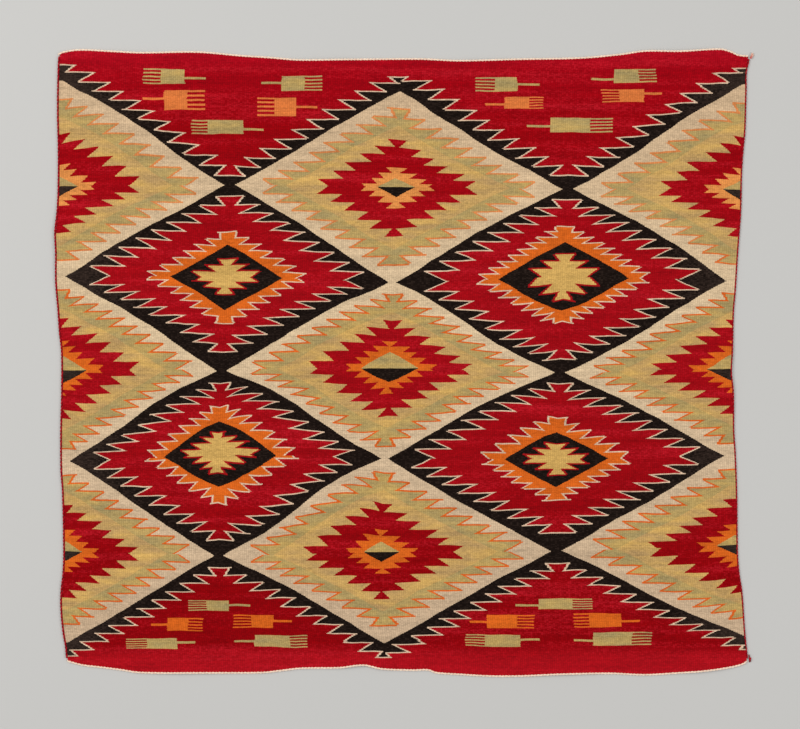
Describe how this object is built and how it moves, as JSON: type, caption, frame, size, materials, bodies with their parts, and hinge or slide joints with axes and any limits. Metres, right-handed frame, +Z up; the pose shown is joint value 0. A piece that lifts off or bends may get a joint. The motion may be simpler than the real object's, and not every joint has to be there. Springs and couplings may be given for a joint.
{
  "type": "wool blanket",
  "caption": "Flat tapestry-woven wool blanket with serrated diamonds, small comb figures and a twisted cord along each edge, lying open.",
  "frame": {"origin": "under the middle of the blanket's outline, on the surface it lies on", "axes": "+X along the blanket's long way, +Y up the pattern, +Z up from the surface"},
  "size_m": [1.4195, 1.276, 0.0072],
  "materials": {
    "tapestry_wool": "matt weft-faced wool with vertical warp ribs, red, black, cream, sage, yellow and orange",
    "light_cord_wool": "matt two-ply twisted wool cord, cream",
    "red_cord_wool": "matt two-ply twisted wool cord, red",
    "tuft_wool": "matt loose wool yarn, cream and pink"
  },
  "bodies": {
    "root": {"blanket_cloth": "tapestry_wool", "end_cord_top": "light_cord_wool", "end_cord_bottom": "light_cord_wool", "side_cord_left": "red_cord_wool", "side_cord_right": "red_cord_wool", "corner_tuft": "tuft_wool", "corner_knot": "red_cord_wool"}
  },
  "joints": []
}
